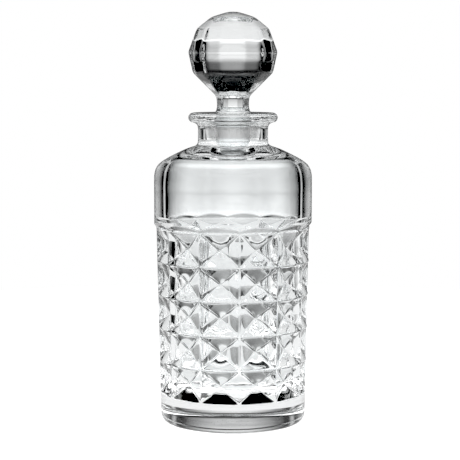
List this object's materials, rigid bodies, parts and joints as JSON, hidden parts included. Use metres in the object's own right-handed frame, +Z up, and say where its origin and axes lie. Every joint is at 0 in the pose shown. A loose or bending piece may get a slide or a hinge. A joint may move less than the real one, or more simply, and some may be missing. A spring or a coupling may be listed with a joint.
{
  "type": "decanter",
  "caption": "Round cut-glass decanter for wine or spirits: square hollows pressed round a straight body, short neck with a flat lip, and a faceted ball stopper on a ground taper plug.",
  "frame": {"origin": "centre of the foot, on the plane the decanter stands on", "axes": "+Z up along the axis of the bottle; -Y is the front"},
  "size_m": [0.0948, 0.0948, 0.247],
  "materials": {
    "bottle_crystal": "polished colourless crystal glass",
    "stopper_crystal": "polished colourless crystal glass, with a ground matt plug"
  },
  "bodies": {
    "bottle": {"bottle": "bottle_crystal"},
    "stopper": {"stopper": "stopper_crystal"}
  },
  "joints": [
    {"name": "stopper_lift", "type": "slide", "parent": "bottle", "child": "stopper", "axis": [0, 0, 1], "range_m": [0, 0.06]}
  ]
}
